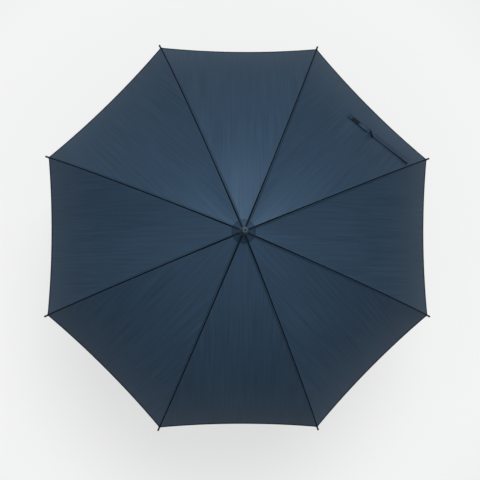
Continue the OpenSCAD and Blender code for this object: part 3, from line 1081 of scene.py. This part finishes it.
    def fold(self, piece: bpy.types.Object, k: int, side: Side, span: Span) -> None:
        """Works out the seam's line beside a piece's rib, which nothing uses, and gives the piece its own
        copy of its mesh.

        Args:
            piece: the piece.
            k: the rib's number.
            side: the side of the seam that it lies on.
            span: the stretch of cloth that it belongs to.
        """
        inner = span is Span.INNER
        start = 0 if inner else self.line.rib_length
        end = self.line.rib_length if inner else self.line.hem
        seam = [self.line.cloth(at, side.value, 0, self.top) for at in (start, (start + end) / 2, end)]
        along = (seam[2] - seam[0]).normalized()
        away = self.line.cloth(end, side.value, 1, self.top) - seam[2]
        away -= away.dot(along) * along
        turn = around(rib_azimuth(k))
        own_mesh(piece)


def thicken(piece: bpy.types.Object, thickness: float) -> None:
    """Gives a sheet its thickness with a live Solidify.

    Args:
        piece: the sheet.
        thickness: how far the solid reaches below the sheet's face.
    """
    solid = piece.modifiers.new("thickness", "SOLIDIFY")
    solid.thickness = thickness
    solid.offset = -1


@dataclass
class Rosette:
    """Scalloped patch over the canopy's middle: eight petals on the ribs round a disc on the stick."""

    line: RibLine
    cloth: bpy.types.Material
    off: float = 5.0 * MM
    thickness: float = 0.5 * MM
    inner: float = -2.7 * MM
    notch: float = 13.6 * MM
    lobe: float = 17.0 * MM
    rows: int = 10
    columns: int = 16
    furrow: float = 0.35 * MM
    keep: float = 0.5
    lobe_curve: float = 0.7
    furrow_half: float = 0.8 * MM
    edge_drop: float = 0.3 * MM
    edge_from: float = 0.8
    roll_step: float = 0.61
    fill: float = 0.66
    disc_in: float = 5.6 * MM
    disc_out: float = 13.4 * MM
    disc_fall: float = 0.7 * MM
    disc_thick: float = 0.4 * MM
    seamless: Pair = (0.5, 0.5)

    def build(self) -> list[bpy.types.Object]:
        """Builds the petals and the disc."""
        return [self.petal(k) for k in RIBS] + [self.disc()]

    def petal(self, k: int) -> bpy.types.Object:
        """Builds the petal over a rib.

        Args:
            k: the rib's number.

        Returns:
            The piece.
        """
        bm, charts = bmesh.new(), {}
        bmesh.ops.create_grid(bm, x_segments=self.rows, y_segments=2 * self.columns, size=1)
        for vert in bm.verts:
            v, side = abs(vert.co.y), 1 if vert.co.y > 0 else -1
            reach = self.notch + (self.lobe - self.notch) * math.sin(v * math.pi / 2) ** self.lobe_curve
            at = self.inner + (reach - self.inner) * (vert.co.x + 1) / 2
            width = self.line.half_width(at)
            low = self.furrow * max(0, 1 - v * width / self.furrow_half)
            edge = self.edge_drop * max(0, (vert.co.x - self.edge_from) / (1 - self.edge_from))
            vert.co = self.line.cloth(at, side, v, self.off - low - edge)
            charts[vert] = ((side * (v - 1) * width + k * self.roll_step, at), (-side * v * width, at))
        Canopy.chart(bm, charts)
        sharpen(bm, CLOTH_CREASE)
        turn = around(rib_azimuth(k))
        bmesh.ops.transform(bm, matrix=turn, verts=bm.verts)
        piece = make_piece(f"rosette_petal_{k}", bm, self.cloth, f"rib_{k}")
        thicken(piece, self.thickness)
        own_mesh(piece)
        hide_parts("rosette_top")
        length, wide = self.lobe - self.inner, 2 * self.line.half_width(self.lobe)
        self.fill * wide * length
        return piece

    def disc(self) -> bpy.types.Object:
        """Builds the disc under the ferrule's foot.

        Returns:
            The piece.
        """
        z = self.line.crown[1] + self.off
        outline = [(self.disc_in, z), (self.disc_out, z - self.disc_fall)]
        bm = lathe([(r, top - self.disc_thick) for r, top in outline] + outline[::-1])
        layers = [bm.loops.layers.uv.new(name) for name in ("weave", "seam")]
        for face in bm.faces:
            for loop in face.loops:
                loop[layers[0]].uv = loop.vert.co.xy
                loop[layers[1]].uv = self.seamless
        piece = make_piece("rosette_disc", bm, self.cloth, "stick")
        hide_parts("rosette_top")
        return piece


@dataclass(frozen=True)
class Sewn:
    """Measures of a piece sewn along the strap; beyond is how far it reaches past the strap's edges."""

    name: str
    ends: Pair
    beyond: float
    up: float
    thick: float
    slot: str = "strap_cloth"
    cells: int = 12


@dataclass
class Strap:
    """Closing strap on the gore between ribs 1 and 2, with its sewn tab, loop patch and hook pad."""

    canopy: Canopy
    webbing: bpy.types.Material
    patch: bpy.types.Material
    hooks: bpy.types.Material
    length: float = 190 * MM
    width: float = 12 * MM
    foot_r: float = 445.7 * MM
    foot_azimuth: float = math.radians(24.1)
    heading: float = math.radians(143.2)
    shown: float = 0.955
    lift: float = 2.0 * MM
    thickness: float = 1.0 * MM
    twist_at: float = 117 * MM
    twist_reach: float = 13 * MM
    foot_tilt: float = 0.3
    tilt_fades: float = 60 * MM
    wave: float = 0.6 * MM
    wave_length: float = 17 * MM
    sewn: tuple[Sewn, ...] = (
        Sewn("strap_tab", (-3 * MM, 15 * MM), 0.8 * MM, 0.9 * MM, 0.8 * MM),
        Sewn("strap_loop_patch", (134 * MM, 151 * MM), -1.2 * MM, 0.8 * MM, 0.7 * MM),
        Sewn("strap_hook_pad", (156 * MM, 178 * MM), -1.5 * MM, 1.2 * MM, 1.1 * MM, "hook_pad", 14),
    )

    def build(self) -> list[bpy.types.Object]:
        """Builds the strap and the pieces on it.

        Returns:
            The pieces.
        """
        whole = Sewn("strap_band", (0, self.length), 0, 0, self.thickness, cells=110)
        strap = self.band(whole, self.webbing)
        finishes = (self.webbing, self.patch, self.hooks)
        tab, loop, pad = (self.band(part, finish) for part, finish in zip(self.sewn, finishes))
        for piece in (strap, tab, loop):
            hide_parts("strap")
        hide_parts("strap_pad")
        return [strap, tab, loop, pad]

    def point(self, along: float, across: float, up: float) -> Vector:
        """Point of the strap.

        Args:
            along: distance from the sewn end.
            across: distance from the middle line.
            up: height above the strap's own level, 0 for the strap itself, which has the half twist.

        Returns:
            The point in the frame.
        """
        share = (along - self.twist_at) / (2 * self.twist_reach) + 0.5
        share = min(max(share, 0), 1) if up == 0 else 0
        turn = math.pi * share * share * (3 - 2 * share)
        tilt = self.foot_tilt * math.exp(-max(along, 0) / self.tilt_fades)
        up -= self.thickness * turn / math.pi
        up += self.width / 2 * math.sin(turn) - across * math.sin(turn)
        across *= math.cos(turn)
        run = Vector((math.cos(self.heading), math.sin(self.heading)))
        flat = self.foot_r * Vector((math.cos(self.foot_azimuth), math.sin(self.foot_azimuth)))
        flat = flat + along * self.shown * run + across * Vector((run.y, -run.x))
        middle = around(GORE)
        inward = middle.inverted() @ Vector((*flat, 0))
        raised = self.canopy.top + self.lift + up - tilt * across
        raised += self.wave * math.sin(along / self.wave_length)
        spot = self.canopy.line.over(inward.x, inward.y, raised)
        return middle @ spot

    def band(self, part: Sewn, material: bpy.types.Material) -> bpy.types.Object:
        """Builds a band that lies along the strap.

        Args:
            part: its measures.
            material: its finish.

        Returns:
            The piece.
        """
        bm, charts = bmesh.new(), {}
        bmesh.ops.create_grid(bm, x_segments=part.cells, y_segments=8, size=1)
        half = self.width / 2 + part.beyond
        for vert in bm.verts:
            along = part.ends[0] + (part.ends[1] - part.ends[0]) * (vert.co.x + 1) / 2
            across = vert.co.y * half
            charts[vert] = ((across, along), (across, along))
            vert.co = self.point(along, across, part.up)
        Canopy.chart(bm, charts)
        bm.normal_update()
        if max(bm.faces, key=lambda face: face.calc_center_median().x).normal.z < 0:
            bmesh.ops.reverse_faces(bm, faces=bm.faces)
        sharpen(bm, CLOTH_CREASE)
        piece = make_piece(part.name, bm, material, "rod_1")
        thicken(piece, part.thick)
        self.canopy.fold(piece, 1, Side.LEFT, Span.OUTER)
        return piece


# ------------------------------------------------------------- turned pieces


@dataclass
class RibTips:
    """Moulded tips on the rods' ends, with a thread that ties the cloth's corner to each."""

    line: RibLine
    plastic: bpy.types.Material
    thread: bpy.types.Material
    bore: float = 1.35 * MM
    neck: float = 2.15 * MM
    ball: float = 2.5 * MM
    length: float = 24 * MM
    bore_depth: float = 13 * MM
    bore_mouth: float = 0.2 * MM
    socket: tuple[Pair, ...] = ((2.5, 0.2), (2.8, 0.6), (2.8, 1.8), (2.55, 2.1), (2.55, 2.5), (2.8, 2.8),
                                (2.8, 5.0), (2.15, 7.7))
    rounding: float = 0.15 * MM
    sharp: float = 0.5
    thread_at: float = 8.6 * MM
    thread_pitch: float = 0.5 * MM
    thread_r: float = 0.28 * MM
    thread_out: float = 0.15 * MM
    thread_turns: int = 3

    def build(self) -> list[bpy.types.Object]:
        """Builds eight tips and their threads."""
        return [make(k) for k in RIBS for make in (self.tip, self.tie)]

    def place(self, k: int) -> Matrix:
        """Place of a piece drawn up +Z from the rod's end."""
        end = self.line.rib_length + self.line.rod_length
        return around(rib_azimuth(k)) @ self.line.facing(end, 0)

    def tip(self, k: int) -> bpy.types.Object:
        """Builds a tip: socket with two ridges, neck and ball.

        Args:
            k: the rib's number.

        Returns:
            The piece.
        """
        arc = [math.radians(a) for a in range(-20, 91, 11)]
        centre = self.length - self.ball
        profile = [(0, self.bore_depth), (self.bore, self.bore_depth), (self.bore, self.bore_mouth)]
        profile += [(r * MM, z * MM) for r, z in self.socket]
        profile += [(self.ball * math.cos(a), centre + self.ball * math.sin(a)) for a in arc[:-1]]
        profile.append((0, self.length))
        bm = lathe(profile, 28)
        round_edges(bm, self.rounding, self.sharp)
        bmesh.ops.transform(bm, matrix=self.place(k), verts=bm.verts)
        piece = make_piece(f"tip_cap_{k}", bm, self.plastic, f"rod_{k}")
        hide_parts(f"tip_{k}")
        return piece

    def tie(self, k: int) -> bpy.types.Object:
        """Builds the turns of thread round a tip's neck.

        Args:
            k: the rib's number.

        Returns:
            The piece.
        """
        bm = bmesh.new()
        for turn in range(self.thread_turns):
            spot = Matrix.Translation((0, 0, self.thread_at + self.thread_pitch * turn))
            ring(self.neck + self.thread_out, self.thread_r, spot, bm, 20, 6)
        bmesh.ops.transform(bm, matrix=self.place(k), verts=bm.verts)
        return make_piece(f"tip_thread_{k}", bm, self.thread, f"rod_{k}")


@dataclass
class RibTies:
    """Thread loops that hold the cloth's seam to the ribs and the rods."""

    line: RibLine
    thread: bpy.types.Material
    radius: float = 2.5 * MM
    wire: float = 0.3 * MM
    centre: float = 1.15 * MM
    turns: int = 3
    rib_shares: tuple[float, ...] = (0.33, 0.66)
    rod_shares: tuple[float, ...] = (0.18, 0.5, 0.82)

    def build(self) -> list[bpy.types.Object]:
        """Builds the loops of every rib and rod.

        Returns:
            The pieces.
        """
        joint, end = self.line.rib_length, self.line.rib_length + self.line.rod_length
        stations = {"rib": [joint * share for share in self.rib_shares],
                    "rod": [joint + (end - joint) * share for share in self.rod_shares]}
        return [self.loops(kind, k, stations[kind]) for k in RIBS for kind in stations]

    def loops(self, kind: str, k: int, places: list[float]) -> bpy.types.Object:
        """Builds the loops of one rib or rod.

        Args:
            kind: "rib" or "rod".
            k: its number.
            places: lengths from the crown at which a loop is.

        Returns:
            The piece.
        """
        bm = bmesh.new()
        for at in places:
            for turn in range(self.turns):
                spot = self.line.facing(at + turn * 2 * self.wire, self.centre)
                ring(self.radius, self.wire, around(rib_azimuth(k)) @ spot, bm, 18, 6)
        return make_piece(f"{kind}_ties_{k}", bm, self.thread, f"{kind}_{k}")


@dataclass
class Ferrule:
    """Moulded ferrule on the shaft's top: flanged foot, waist, straight spike and cored end."""

    base: float
    height: float
    radius: float
    foot: float
    plastic: bpy.types.Material
    bore: float = 5.05 * MM
    bore_depth: float = 21 * MM
    core: float = 1.6 * MM
    core_depth: float = 8 * MM
    waist: float = 16 * MM
    waist_steps: int = 8
    waist_curve: float = 2.2
    lip: float = 2.4 * MM
    edge: float = 0.5 * MM
    grooves: Pair = (2.5 * MM, 4.5 * MM)
    groove_depth: float = 0.35 * MM
    groove_lips: Pair = (0.3 * MM, 0.9 * MM)
    groove_width: float = 1.2 * MM

    def build(self) -> bpy.types.Object:
        """Builds the ferrule.

        Returns:
            The piece.
        """
        edge, radius, top = self.edge, self.radius, self.height
        profile = [(0, self.bore_depth), (self.bore, self.bore_depth), (self.bore, 0)]
        profile += [(self.foot - edge, 0), (self.foot, edge), (self.foot, self.lip - edge)]
        profile.append((self.foot - 0.6 * MM, self.lip))
        for i in range(1, self.waist_steps + 1):
            t = i / self.waist_steps
            r = radius + (self.foot - 1.2 * MM - radius) * (1 - t) ** self.waist_curve
            profile.append((r, self.lip + (self.waist - self.lip) * t))
        for z in (self.waist + groove for groove in self.grooves):
            profile.append((radius, z))
            profile += [(radius - self.groove_depth, z + up) for up in self.groove_lips]
            profile.append((radius, z + self.groove_width))
        profile += [(radius, top - 1.4 * MM), (radius - edge, top - 0.45 * MM)]
        profile.append((radius - 1.5 * MM, top))
        profile += [(self.core + edge, top), (self.core, top - edge), (self.core, top - self.core_depth)]
        profile.append((0, top - self.core_depth))
        bm = lathe([(r, self.base + z) for r, z in profile])
        sharpen(bm, 0.5)
        piece = make_piece("ferrule_cap", bm, self.plastic, "stick")
        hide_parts("ferrule")
        return piece


@dataclass
class RunnerGrip:
    """Raised rings that give the thumb a hold on the runner's sleeve."""

    foot: float
    radius: float
    plastic: bpy.types.Material
    count: int = 3
    first: float = 16.5 * MM
    pitch: float = 2.2 * MM
    wire: float = 0.55 * MM

    def build(self) -> bpy.types.Object:
        """Builds the rings.

        Returns:
            The piece.
        """
        bm = bmesh.new()
        for i in range(self.count):
            place = Matrix.Translation((0, 0, self.foot + self.first + i * self.pitch))
            ring(self.radius, self.wire, place, bm, 64, 8)
        return make_piece("runner_grip_rings", bm, self.plastic, "runner")


@dataclass
class CrookHandle:
    """Soft-touch crook handle: a slightly waisted grip with finger rings, a half-turn bend and its end."""

    top: float
    bottom: float
    radius: float
    crook: float
    end: float
    plastic: bpy.types.Material
    sides: int = 56
    waist: float = 0.5 * MM
    groove: float = 0.45 * MM
    groove_pitch: float = 8 * MM
    groove_count: int = 5
    groove_start: float = 12 * MM
    groove_half: float = 0.9 * MM
    grip_steps: int = 160
    bend_steps: int = 48

    def grip_radius(self, z: float) -> float:
        """Radius of the straight grip.

        Args:
            z: height.

        Returns:
            The radius at that height.
        """
        share = (z - self.bottom) / (self.top - self.bottom)
        slim = self.waist * math.sin(math.pi * share) ** 2
        from_ring = (z - self.bottom - self.groove_start) / self.groove_pitch
        nearest = min(max(round(from_ring), 0), self.groove_count - 1)
        cut = math.exp(-((from_ring - nearest) * self.groove_pitch / self.groove_half) ** 2)
        return self.radius - slim - self.groove * cut

    def build(self) -> bpy.types.Object:
        """Builds the handle.

        Returns:
            The piece.
        """
        bm = bmesh.new()
        start = bmesh.ops.create_circle(bm, cap_ends=True, segments=self.sides, radius=self.radius,
                                        matrix=Matrix.Translation((0, 0, self.top)))
        edges = list({e for v in start["verts"] for e in v.link_edges if len(e.link_faces) == 1})
        step = (self.bottom - self.top) / self.grip_steps
        for i in range(1, self.grip_steps + 1):
            z = self.top + step * i
            edges, verts = self.extend(bm, edges, Vector((0, 0, step)))
            grow = self.grip_radius(z) / self.grip_radius(z - step)
            bmesh.ops.scale(bm, vec=(grow, grow, 1), verts=verts)
        spun = bmesh.ops.spin(bm, geom=edges, cent=(self.crook, 0, self.bottom), axis=(0, 1, 0),
                              angle=-math.pi, steps=self.bend_steps)
        edges = [g for g in spun["geom_last"] if isinstance(g, bmesh.types.BMEdge)]
        edges, verts = self.extend(bm, edges, Vector((0, 0, self.end - self.bottom)))
        bmesh.ops.contextual_create(bm, geom=edges)
        bmesh.ops.recalc_face_normals(bm, faces=bm.faces)
        sharpen(bm, 0.7)
        piece = make_piece("handle_grip", bm, self.plastic, "stick")
        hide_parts("handle")
        return piece

    @staticmethod
    def extend(bm: bmesh.types.BMesh, edges: list, step: Vector) -> tuple[list, list]:
        """Extrudes a loop of edges by a step.

        Args:
            bm: the mesh.
            edges: the loop.
            step: the way it moves.

        Returns:
            The new loop's edges and vertices.
        """
        geom = bmesh.ops.extrude_edge_only(bm, edges=edges)["geom"]
        verts = [g for g in geom if isinstance(g, bmesh.types.BMVert)]
        bmesh.ops.translate(bm, vec=step, verts=verts)
        return [g for g in geom if isinstance(g, bmesh.types.BMEdge) and len(g.link_faces) == 1], verts


# --------------------------------------------------------- kept CAD pieces


@dataclass
class Dressing:
    """Finishes for the CAD nodes that stay: frame, shaft, crown, runner, catches and metal fittings."""

    finishes: dict[str, bpy.types.Material]

    def build(self) -> list[str]:
        """Gives each kept node the finish whose name its own name starts with.

        Returns:
            The names of the dressed nodes.
        """
        dressed = []
        for name, node in frame["nodes"].items():
            found = [prefix for prefix in self.finishes if name.startswith(prefix)]
            if not found:
                continue
            material = self.finishes[max(found, key=len)]
            for place in node.material_slots:
                place.material = material
            dressed.append(name)
        return dressed


# ------------------------------------------------------------------- studio


@dataclass
class Studio:
    """Plain pale floor with a faint glow, a broad soft key light, and the camera over the ferrule."""

    floor_z: float
    camera_distance: float = 3.0
    lens: float = 91.5
    tilt: Scale = (-2.33, 2.45, -0.05)
    shift: Pair = (-0.0038, 0.0076)
    hub: float = 0.3829
    floor_half: float = 15
    floor_colour: Colour = (0.2, 0.2, 0.2)
    floor_glow: float = 0.61
    glow_fades: Pair = (0.8, 2.0)
    glow_far: float = 0.25
    sky_colour: Colour = (0.96, 0.98, 1.0)
    horizon: float = 0.08
    zenith: float = 1.02
    zenith_rise: Pair = (0.15, 1.0)
    window: float = 0.45
    window_rise: Pair = (0.3, 1.0)
    window_way: Scale = (-0.35, 0.94, 0)
    key_strength: float = 2.6
    key_tilt: Pair = (28, -6)
    key_spread: float = 34

    def build(self) -> None:
        """Builds floor, world, lights and camera."""
        scene = bpy.context.scene
        scene.view_settings.view_transform = "Standard"
        self.floor()
        self.sky()
        self.key()
        scene.camera = self.camera()

    def floor(self) -> None:
        """Builds the floor."""
        bm = bmesh.new()
        bmesh.ops.create_grid(bm, x_segments=1, y_segments=1, size=self.floor_half,
                              matrix=Matrix.Translation((0, 0, self.floor_z)))
        mesh = bpy.data.meshes.new("floor")
        bm.to_mesh(mesh)
        bm.free()
        graph = Graph("floor_paint")
        away = graph.add("ShaderNodeVectorMath", {"operation": "LENGTH"}, {0: graph.place()})
        far = Sock(graph, away.outputs["Value"]).rise(*self.glow_fades)
        glow = graph.blend(far, (1.0, 1.0, 1.0), (self.glow_far,) * 3)
        mesh.materials.append(graph.finish(self.floor_colour, 0.9, Specular_IOR_Level=0.1,
                                           Emission_Color=glow, Emission_Strength=self.floor_glow))
        floor = bpy.data.objects.new("floor", mesh)
        bpy.context.scene.collection.objects.link(floor)

    def sky(self) -> None:
        """Makes the ceiling glow more than the walls, except for the wall that window_way points to."""
        world = bpy.data.worlds.new("studio")
        world.use_nodes = True
        graph = Graph("sky_mapping", world.node_tree)
        way = Sock(graph, graph.add("ShaderNodeTexCoord").outputs["Generated"])
        facing = graph.add("ShaderNodeVectorMath", {"operation": "DOT_PRODUCT"},
                           {0: way, 1: self.window_way})
        height = graph.axes(way)[2]
        glow = height.rise(*self.zenith_rise) * self.zenith + self.horizon
        glow += Sock(graph, facing.outputs["Value"]).rise(*self.window_rise) * self.window
        background = world.node_tree.nodes["Background"]
        background.inputs["Color"].default_value = (*self.sky_colour, 1.0)
        world.node_tree.links.new(glow.link, background.inputs["Strength"])
        bpy.context.scene.world = world

    def key(self) -> None:
        """Adds the broad key light, which leans from overhead towards +Y and a little towards -X."""
        light = bpy.data.lights.new("key", "SUN")
        light.energy = self.key_strength
        light.angle = math.radians(self.key_spread)
        lamp = bpy.data.objects.new("key", light)
        lamp.rotation_euler = (-math.radians(self.key_tilt[0]), -math.radians(self.key_tilt[1]), 0)
        bpy.context.scene.collection.objects.link(lamp)

    def camera(self) -> bpy.types.Object:
        """Makes the camera.

        Returns:
            The camera, which looks down the shaft a few degrees off its line.
        """
        data = bpy.data.cameras.new("camera")
        data.lens = self.lens
        camera = bpy.data.objects.new("camera", data)
        turns = [Matrix.Rotation(math.radians(a), 3, axis) for a, axis in zip(self.tilt, "XYZ")]
        back = (turns[0] @ turns[1] @ turns[2]).transposed()
        spot = back @ (Vector((0, 0, self.camera_distance)) - Vector((*self.shift, 0)))
        camera.matrix_world = Matrix.Translation(spot + Vector((0, 0, self.hub))) @ back.to_4x4()
        bpy.context.scene.collection.objects.link(camera)
        return camera


# --------------------------------------------------------------------- main


def pivot(name: str) -> Pair:
    """Radius and height of a joint's pivot."""
    x, y, z = next(j["pos_m"] for j in frame["joints"] if j["name"] == name)
    return math.hypot(x, y), z


def report(title: str, pieces: Sequence) -> None:
    """Reports the pieces of a sub-assembly."""
    for piece in pieces:
        log.info("%s: %s", title, getattr(piece, "name", piece))


def main() -> None:
    """Builds every sub-assembly in order."""
    logging.basicConfig(level=logging.INFO, format="%(message)s")
    line = RibLine(crown=pivot("fold"), joint=pivot("rod_1_flex"))
    low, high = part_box("ferrule")
    grip_low, grip_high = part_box("handle")
    cap_low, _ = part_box("handle_end_cap")
    runner_low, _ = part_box("runner")

    cloth = PongeeCloth("canopy_pongee", NAVY, line.hem).build()
    # A darker, duller copy of the canopy cloth: painted shade in the seam furrows and at the hem's edge.
    painted_shade_cloth = PongeeCloth("canopy_fold", shade(NAVY, 0.3), NO_HEM, shine=0.1).build()
    patch_cloth = PongeeCloth("rosette_pongee", shade(NAVY, 0.55), NO_HEM, gloss=(0.3, 0.5, 0.8)).build()
    webbing = Webbing("strap_webbing", shade(NAVY, 0.86), 12 * MM).build()
    patch = Webbing("strap_loop_weave", shade(NAVY, 1.35), 9.6 * MM).build()
    hooks = HookPile("hook_pile", shade(NAVY, 0.5)).build()
    black = MouldedPlastic("black_nylon", JET, 0.42, gloss=0.22).build()
    thread = Thread("navy_thread", shade(NAVY, 0.45)).build()
    spike = MouldedPlastic("ferrule_plastic", SLATE, 0.5, 900, 0.05 * MM, 0.16).build()
    rubber = MouldedPlastic("soft_touch_rubber", RUBBER, 0.52, 2100, 0.09 * MM).build()

    canopy = Canopy(line, cloth, painted_shade_cloth)
    report("canopy", canopy.build())
    report("rosette", Rosette(line, patch_cloth).build())
    report("strap", Strap(canopy, webbing, patch, hooks).build())
    report("tips", RibTips(line, black, thread).build())
    report("ties", RibTies(line, thread).build())
    ferrule = Ferrule(low[2], high[2] - low[2], 7.25 * MM, (high[0] - low[0]) / 2, spike)
    report("ferrule", [ferrule.build()])
    report("runner", [RunnerGrip(runner_low[2], 8 * MM, black).build()])
    radius = (grip_high[1] - grip_low[1]) / 2
    crook = ((grip_high[0] - grip_low[0]) - 2 * radius) / 2
    bottom = grip_low[2] + crook + radius
    handle = CrookHandle(grip_high[2], bottom, radius, crook, cap_low[2], rubber)
    report("handle", [handle.build()])

    enamel = PaintedSteel("black_enamel", ENAMEL).build()
    bright = DrawnSteel("bright_wire", WIRE, 0.24).build()
    fittings = dict.fromkeys(("crown", "runner"), black)
    fittings |= dict.fromkeys(("rib_", "stretcher_"), enamel)
    fittings |= dict.fromkeys(("crown_wire", "crown_pin", "runner_wire", "stop_pin", "catch_pins",
                               "top_catch", "bottom_catch"), bright)
    fittings |= {
        "rod_": GlassFibre("pultruded_glass", RESIN).build(),
        "shaft": DrawnSteel("brushed_tube", TUBE, 0.3).build(),
        "handle_collar": DrawnSteel("satin_collar", SATIN, 0.3, EVEN_GRAIN).build(),
        "handle_end_cap": DrawnSteel("satin_cap", SATIN, 0.3, EVEN_GRAIN).build(),
        "rosette_under": patch_cloth,
    }
    report("dressed", Dressing(fittings).build())
    Studio(CAD_BOX[0][2]).build()
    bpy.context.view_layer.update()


if __name__ == "__main__":
    main()
